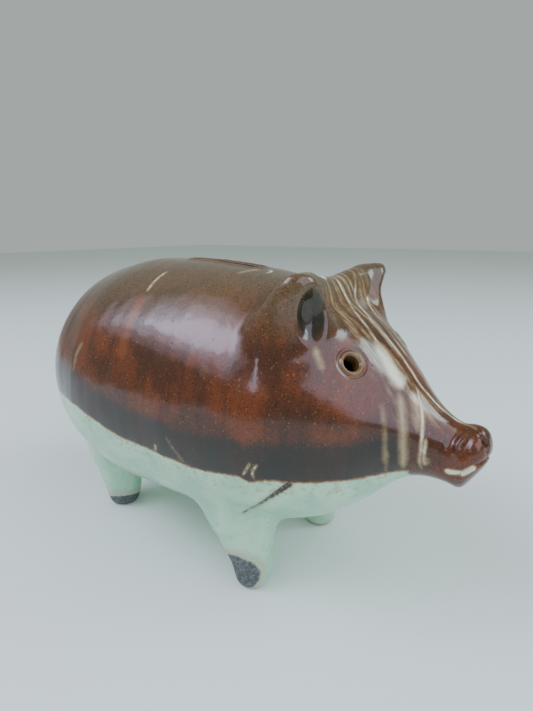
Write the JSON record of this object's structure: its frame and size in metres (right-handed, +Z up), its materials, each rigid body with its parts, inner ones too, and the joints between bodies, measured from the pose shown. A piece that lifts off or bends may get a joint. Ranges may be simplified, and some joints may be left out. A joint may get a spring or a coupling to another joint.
{
  "type": "pottery pig money box",
  "caption": "Glazed earthenware money box in the shape of a standing pig, with a coin slot along its back and pierced eyes.",
  "frame": {"origin": "on the table, under the middle of the pig's length, width and height box", "axes": "+X from the tail to the nose, +Y to the pig's left, +Z up"},
  "size_m": [0.201, 0.1076, 0.1258],
  "materials": {
    "brown_glaze": "glossy",
    "cream_glaze": "glossy"
  },
  "bodies": {
    "root": {"body_shell": "brown_glaze", "snout": "brown_glaze", "ear_left": "brown_glaze", "ear_right": "brown_glaze", "leg_front_left": "cream_glaze", "leg_front_right": "cream_glaze", "leg_rear_left": "cream_glaze", "leg_rear_right": "cream_glaze", "tail": "brown_glaze"}
  },
  "joints": []
}
